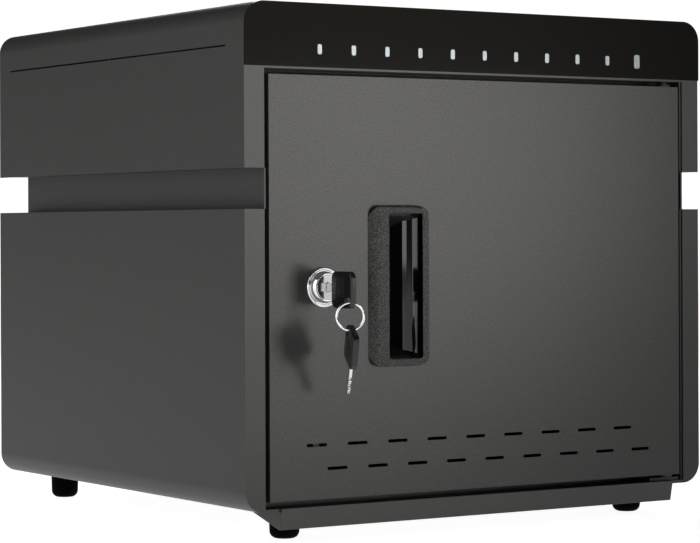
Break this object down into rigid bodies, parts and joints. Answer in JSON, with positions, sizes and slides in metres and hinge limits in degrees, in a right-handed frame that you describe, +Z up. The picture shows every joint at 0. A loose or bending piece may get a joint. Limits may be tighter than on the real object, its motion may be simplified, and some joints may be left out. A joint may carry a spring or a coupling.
{
  "type": "desktop charging locker",
  "caption": "Sheet-steel desktop locker that charges phones in upright bays behind one hinged door with a recessed pull, a keyed two-point lock and a row of indicator windows.",
  "frame": {"origin": "under the middle of the whole part, on the plane its rubber feet stand on", "axes": "+X to the right of someone facing the door, +Y into the cabinet, +Z up; the door is closed and the key is in the lock"},
  "size_m": [0.35, 0.3842, 0.3245],
  "materials": {
    "cabinet_steel": "dark grey powder coat with a fine grain",
    "bay_steel": "dark grey powder coat",
    "fascia_black": "black, satin",
    "window_white": "translucent white",
    "power_white": "translucent white, slightly greyer",
    "board_green": "circuit board",
    "bracket_steel": "dark",
    "pin_steel": "plain steel",
    "supply_case": "plain sheet",
    "black_plastic": "matt black",
    "rocker_black": "black",
    "foot_rubber": "black rubber",
    "screw_zinc": "zinc plated",
    "door_steel": "dark grey powder coat with a fine grain",
    "pull_black": "fine textured flange, glossy pocket",
    "bush_nylon": "black nylon",
    "lock_chrome": "polished chrome",
    "plug_chrome": "polished chrome",
    "guide_black": "black",
    "bar_zinc": "zinc plated",
    "key_metal": "nickel plated",
    "key_plastic": "black moulding",
    "ring_chrome": "bright wire"
  },
  "bodies": {
    "cabinet": {"upper_cover": "cabinet_steel", "lower_cover": "cabinet_steel", "left_liner": "cabinet_steel", "right_liner": "cabinet_steel", "floor_panel": "bay_steel", "ceiling_panel": "bay_steel", "rear_panel": "cabinet_steel", "front_sill": "cabinet_steel", "fascia": "fascia_black", "bay_windows": "window_white", "power_window": "power_white", "indicator_board": "board_green", "board_standoffs": "screw_zinc", "lower_hinge_bracket": "bracket_steel", "upper_hinge_bracket": "bracket_steel", "lower_pivot_pin": "pin_steel", "upper_pivot_pin": "pin_steel", "power_supply": "supply_case", "charge_board": "board_green", "port_strip": "black_plastic", "mains_inlet": "black_plastic", "inlet_screws": "screw_zinc", "switch_frame": "black_plastic", "feet": "foot_rubber", "foot_screws": "screw_zinc", "foot_nuts": "screw_zinc", "rear_screws": "screw_zinc", "bracket_studs": "screw_zinc", "divider_1": "bay_steel", "divider_2": "bay_steel", "divider_3": "bay_steel", "divider_4": "bay_steel", "divider_5": "bay_steel", "divider_6": "bay_steel", "divider_7": "bay_steel", "divider_8": "bay_steel", "divider_9": "bay_steel"},
    "door": {"door_panel": "door_steel", "door_handle": "pull_black", "lower_pivot_bush": "bush_nylon", "upper_pivot_bush": "bush_nylon", "lock_body": "lock_chrome", "lock_nut": "bar_zinc", "upper_bar_guide": "guide_black", "lower_bar_guide": "guide_black"},
    "lock_rotor": {"lock_plug": "plug_chrome", "lock_cam": "bar_zinc", "cam_screw": "bar_zinc"},
    "upper_bar": {"upper_lock_bar": "bar_zinc"},
    "lower_bar": {"lower_lock_bar": "bar_zinc"},
    "key": {"key_blade": "key_metal", "key_head": "key_plastic"},
    "ring": {"key_ring": "ring_chrome"},
    "spare": {"spare_blade": "key_metal", "spare_head": "key_plastic"},
    "rocker": {"switch_rocker": "rocker_black"}
  },
  "joints": [
    {"name": "door_hinge", "type": "hinge", "parent": "cabinet", "child": "door", "pos_m": [0.15, -0.14066, 0.153], "axis": [0, 0, 1], "range_deg": [0, 110]},
    {"name": "lock_turn", "type": "hinge", "parent": "door", "child": "lock_rotor", "pos_m": [-0.12, -0.14586, 0.153], "axis": [0, -1, 0], "range_deg": [0, 90]},
    {"name": "upper_bar_slide", "type": "slide", "parent": "door", "child": "upper_bar", "axis": [0, 0, 1], "range_m": [0, 0.01132]},
    {"name": "lower_bar_slide", "type": "slide", "parent": "door", "child": "lower_bar", "axis": [0, 0, -1], "range_m": [0, 0.01132]},
    {"name": "key_withdraw", "type": "slide", "parent": "lock_rotor", "child": "key", "axis": [0, -1, 0], "range_m": [0, 0.014]},
    {"name": "ring_swing", "type": "hinge", "parent": "key", "child": "ring", "pos_m": [-0.12, -0.17586, 0.1442], "axis": [0.8406, -0.5417, 0], "range_deg": [-42, 15]},
    {"name": "spare_swing", "type": "hinge", "parent": "ring", "child": "spare", "pos_m": [-0.12, -0.17586, 0.1279], "axis": [0.8406, -0.5417, 0], "range_deg": [-25, 25]},
    {"name": "rocker_switch", "type": "hinge", "parent": "cabinet", "child": "rocker", "pos_m": [-0.066, 0.17414, 0.30085], "axis": [0, 0, 1], "range_deg": [-18, 0]}
  ],
  "couplings": [
    {"joint": "upper_bar_slide", "follows": "lock_turn", "m_per_rad": 0.0072025},
    {"joint": "lower_bar_slide", "follows": "lock_turn", "m_per_rad": 0.0072025}
  ]
}
